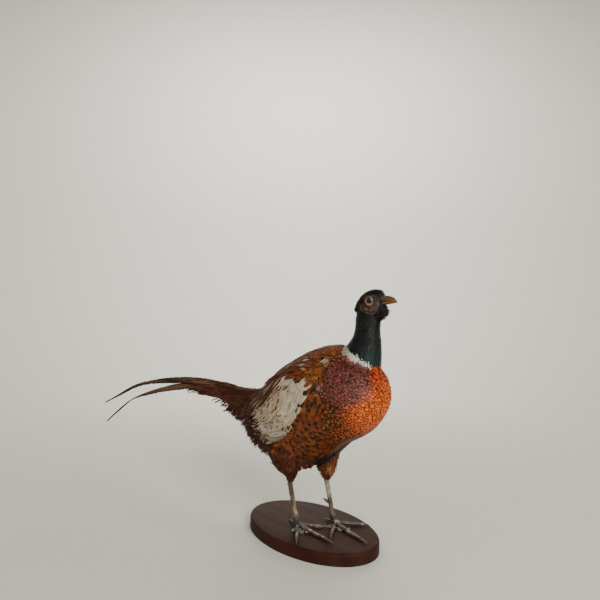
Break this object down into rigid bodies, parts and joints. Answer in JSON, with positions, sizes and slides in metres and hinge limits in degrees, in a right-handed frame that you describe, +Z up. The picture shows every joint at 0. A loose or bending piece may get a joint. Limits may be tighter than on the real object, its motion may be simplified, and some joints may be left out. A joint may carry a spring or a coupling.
{
  "type": "mounted cock pheasant",
  "caption": "Life-size mounted cock pheasant standing upright on a low oval wooden plinth, with a long tail held out behind, a white neck ring and folded wings.",
  "frame": {"origin": "middle of the plinth's flat underside", "axes": "+X the way the bird faces, +Y its left, +Z up"},
  "size_m": [0.822, 0.172, 0.4323],
  "materials": {
    "wood": "satin stained",
    "body_plumage": "copper-red feathers edged with black",
    "wing_plumage": "grey-buff and rusty feathers",
    "dark_plumage": "glossy blue-green black feathers",
    "tail_plumage": "dark rusty brown feathers",
    "bill_horn": "satin horn",
    "eye_glass": "glossy",
    "face_skin": "dry and wrinkled",
    "leg_skin": "scaled, satin",
    "claw_horn": "satin horn"
  },
  "bodies": {
    "root": {"plinth": "wood", "trunk": "body_plumage", "thigh_right": "body_plumage", "thigh_left": "body_plumage", "wing_right": "wing_plumage", "wing_left": "wing_plumage", "flight_feathers_right": "wing_plumage", "flight_feathers_left": "wing_plumage", "neck": "dark_plumage", "head": "dark_plumage", "ear_tuft_right": "dark_plumage", "ear_tuft_left": "dark_plumage", "tail_coverts": "tail_plumage", "tail_feather_upper_long": "tail_plumage", "tail_feather_right_1": "tail_plumage", "tail_feather_lower_long": "tail_plumage", "tail_feather_left_1": "tail_plumage", "tail_feather_right_2": "tail_plumage", "tail_feather_left_2": "tail_plumage", "tail_feather_right_3": "tail_plumage", "tail_feather_left_3": "tail_plumage", "tail_feather_right_4": "tail_plumage", "tail_feather_left_4": "tail_plumage", "bill_upper": "bill_horn", "bill_lower": "bill_horn", "eye_right": "eye_glass", "eye_left": "eye_glass", "wattle_right": "face_skin", "wattle_left": "face_skin", "shank_right": "leg_skin", "shank_left": "leg_skin", "foot_right": "leg_skin", "foot_left": "leg_skin", "spur_right": "claw_horn", "spur_left": "claw_horn", "claw_right_inner": "claw_horn", "claw_right_middle": "claw_horn", "claw_right_outer": "claw_horn", "claw_right_hind": "claw_horn", "claw_left_inner": "claw_horn", "claw_left_middle": "claw_horn", "claw_left_outer": "claw_horn", "claw_left_hind": "claw_horn"}
  },
  "joints": []
}
